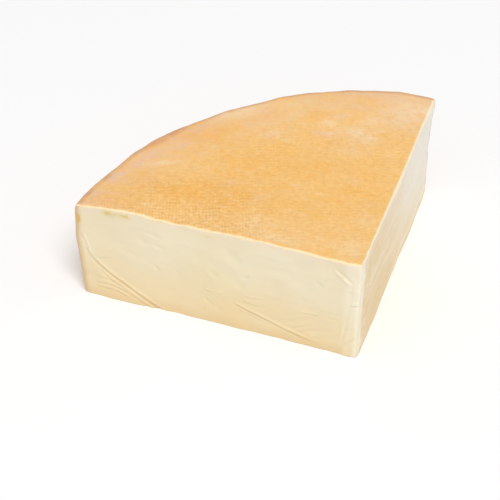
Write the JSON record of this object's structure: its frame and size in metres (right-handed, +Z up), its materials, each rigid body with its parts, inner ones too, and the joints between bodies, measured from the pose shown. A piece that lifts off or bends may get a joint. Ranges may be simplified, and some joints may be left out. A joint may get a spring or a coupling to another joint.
{
  "type": "raclette quarter wheel",
  "caption": "Quarter of a round washed-rind melting cheese: orange rind on top, rim and base, pale paste on its upright cut faces.",
  "frame": {"origin": "middle of the ground that the quarter's box covers, on the flat base", "axes": "+Z up; the two cut faces look along -Y and +X and meet in the upright edge at the front right; the rim runs round the back left"},
  "size_m": [0.163, 0.1566, 0.0705],
  "materials": {
    "cheese": "pale waxy paste on the cuts, fine-woven ochre rind on top, rim and base"
  },
  "bodies": {
    "root": {"raclette_quarter": "cheese"}
  },
  "joints": []
}
